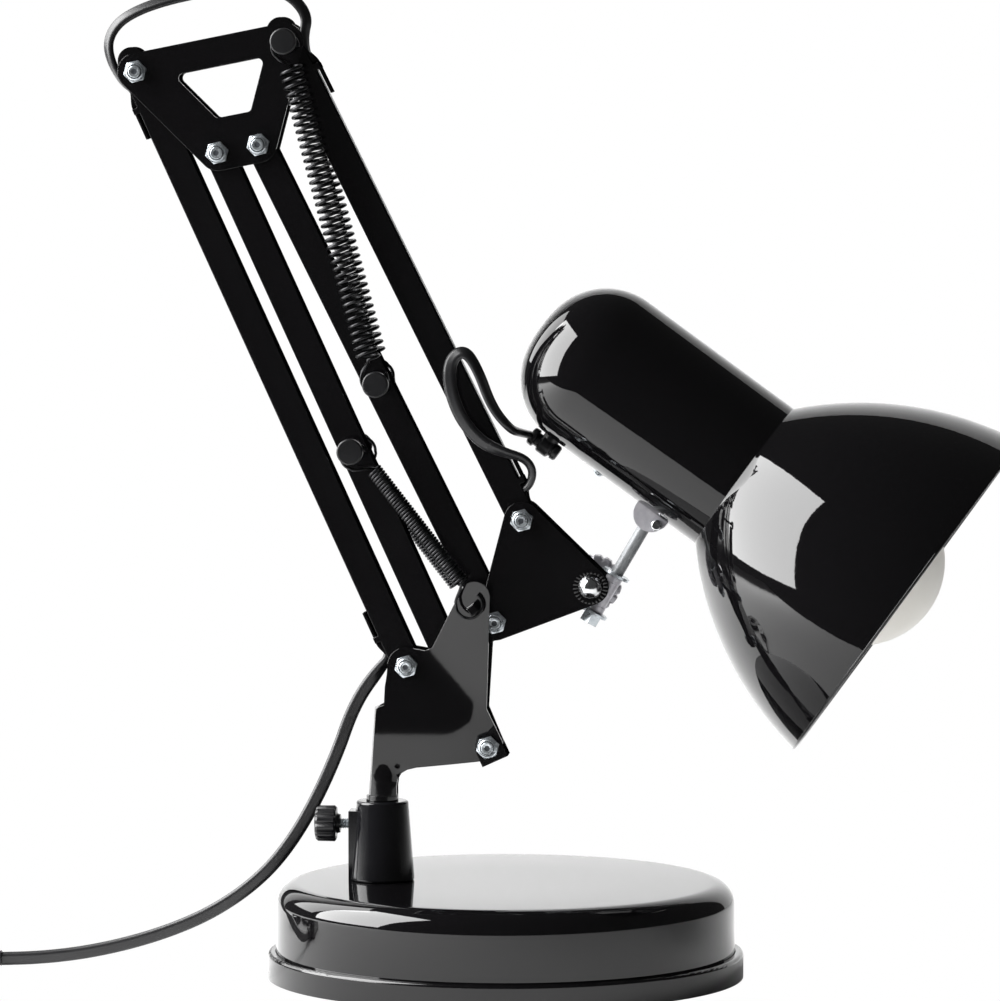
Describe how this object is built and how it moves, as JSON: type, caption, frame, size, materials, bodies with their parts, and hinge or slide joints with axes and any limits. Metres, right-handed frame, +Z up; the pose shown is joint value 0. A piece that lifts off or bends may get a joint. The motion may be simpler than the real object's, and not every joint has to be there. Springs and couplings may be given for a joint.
{
  "type": "swing-arm desk lamp",
  "caption": "Black swing-arm desk lamp with a weighted round base, sprung parallelogram arms, a spun metal shade on a tilting knuckle and a coiled lead.",
  "frame": {"origin": "on the table, under the middle of the round base", "axes": "+Z up; +X from the post towards the shade; the arms move parallel to XZ, and -Y is the side seen in the picture"},
  "size_m": [0.5594, 0.1888, 0.3932],
  "materials": {
    "black_paint": "gloss",
    "shade_paint": "gloss",
    "black_plastic": "satin",
    "switch_plastic": "gloss",
    "zinc": "satin",
    "spring_wire": "gloss",
    "chrome": "gloss",
    "cast_zinc": "satin",
    "iron": "matte",
    "pad": "matte",
    "brass": "satin",
    "flex": "satin",
    "holder": "satin",
    "bulb_white": "gloss",
    "bulb_metal": "satin"
  },
  "bodies": {
    "base": {"base_shell": "black_paint", "base_skirt": "black_paint", "base_weight": "iron", "base_pad": "pad", "post_socket": "black_plastic", "socket_screw": "zinc", "socket_insert": "brass", "mains_cord": "flex", "cord_coil": "flex", "cord_tie": "flex", "inline_switch": "switch_plastic", "plug_body": "switch_plastic", "plug_pins": "chrome"},
    "thumb_screw": {"thumb_screw_shank": "zinc", "thumb_screw_knob": "black_plastic"},
    "post": {"lower_bracket": "black_paint", "post_pin": "zinc", "lower_pivot_bolts": "zinc", "lower_pivot_nuts": "zinc", "lower_spring_near": "spring_wire", "lower_spring_far": "spring_wire"},
    "lower_rear": {"lower_rear_bar": "black_paint", "lower_arm_cord": "flex"},
    "lower_front": {"lower_front_bar": "black_paint", "lower_peg": "zinc", "lower_peg_caps": "black_plastic"},
    "elbow": {"elbow_plate_near": "black_paint", "elbow_plate_far": "black_paint", "elbow_bolts": "zinc", "elbow_nuts": "zinc", "elbow_peg": "zinc", "elbow_peg_caps": "black_plastic", "upper_spring_near": "spring_wire", "upper_spring_far": "spring_wire", "elbow_cord": "flex"},
    "upper_rear": {"upper_rear_bar": "black_paint", "upper_arm_cord": "flex"},
    "upper_front": {"upper_front_bar": "black_paint", "upper_peg": "zinc", "upper_peg_caps": "black_plastic"},
    "head_bracket": {"head_bracket": "black_paint", "head_bracket_bolts": "zinc", "head_bracket_nuts": "zinc", "tilt_screw": "chrome", "head_cord": "flex"},
    "tilt_knob": {"tilt_knob": "cast_zinc"},
    "knuckle": {"knuckle": "cast_zinc"},
    "head": {"shade": "shade_paint", "head_lug": "cast_zinc", "lug_screw": "chrome", "lampholder": "holder", "holder_contact": "brass", "cord_gland": "black_plastic", "head_rod": "zinc", "rod_washers": "zinc", "rod_nut": "zinc"},
    "bulb": {"bulb_glass": "bulb_white", "bulb_cap": "bulb_metal"},
    "rocker": {"switch_rocker": "switch_plastic"}
  },
  "joints": [
    {"name": "post_swivel", "type": "hinge", "parent": "base", "child": "post", "pos_m": [-0.049, 0, 0.0711], "axis": [0, 0, 1], "range_deg": [-90, 90], "deforming": ["mains_cord"]},
    {"name": "lower_arm", "type": "hinge", "parent": "post", "child": "lower_rear", "pos_m": [-0.0387, 0, 0.1242], "axis": [0, 1, 0], "range_deg": [0, 60], "deforming": ["lower_spring_near", "lower_spring_far", "mains_cord", "elbow_cord"]},
    {"name": "lower_front_pivot", "type": "hinge", "parent": "post", "child": "lower_front", "pos_m": [-0.00637, 0, 0.09232], "axis": [0, 1, 0], "range_deg": [0, 60]},
    {"name": "elbow_level", "type": "hinge", "parent": "lower_rear", "child": "elbow", "pos_m": [-0.14552, 0, 0.35861], "axis": [0, 1, 0], "range_deg": [-60, 0]},
    {"name": "upper_arm", "type": "hinge", "parent": "elbow", "child": "upper_rear", "pos_m": [-0.08635, 0, 0.3705], "axis": [0, -1, 0], "range_deg": [0, 110], "deforming": ["upper_spring_near", "upper_spring_far", "elbow_cord", "head_cord"]},
    {"name": "upper_front_pivot", "type": "hinge", "parent": "elbow", "child": "upper_front", "pos_m": [-0.09692, 0, 0.32995], "axis": [0, -1, 0], "range_deg": [0, 110]},
    {"name": "head_level", "type": "hinge", "parent": "upper_rear", "child": "head_bracket", "pos_m": [0.00702, 0, 0.1824], "axis": [0, -1, 0], "range_deg": [-110, 0]},
    {"name": "head_tilt", "type": "hinge", "parent": "head_bracket", "child": "knuckle", "pos_m": [0.03413, 0, 0.15616], "axis": [0, 1, 0], "range_deg": [-5, 45], "deforming": ["head_cord"]},
    {"name": "head_swivel", "type": "hinge", "parent": "knuckle", "child": "head", "pos_m": [0.03948, 0, 0.15304], "axis": [0.5045, 0, 0.8634], "range_deg": [-80, 80], "deforming": ["head_cord"]},
    {"name": "tilt_knob_turn", "type": "hinge", "parent": "head_bracket", "child": "tilt_knob", "pos_m": [0.03413, 0, 0.15616], "axis": [0, 1, 0], "continuous": true},
    {"name": "thumb_screw_turn", "type": "hinge", "parent": "base", "child": "thumb_screw", "pos_m": [-0.0657, 0, 0.0606], "axis": [-1, 0, 0], "continuous": true},
    {"name": "bulb_turn", "type": "hinge", "parent": "head", "child": "bulb", "pos_m": [0.09436, -0.00104, 0.1999], "axis": [0.8097, -0.0434, -0.5852], "continuous": true},
    {"name": "rocker_tip", "type": "hinge", "parent": "base", "child": "rocker", "pos_m": [-0.254, 0, 0.0092], "axis": [0, 1, 0], "range_deg": [-5, 5]}
  ],
  "couplings": [
    {"joint": "lower_front_pivot", "follows": "lower_arm", "ratio": 1},
    {"joint": "elbow_level", "follows": "lower_arm", "ratio": -1},
    {"joint": "upper_front_pivot", "follows": "upper_arm", "ratio": 1},
    {"joint": "head_level", "follows": "upper_arm", "ratio": -1}
  ]
}
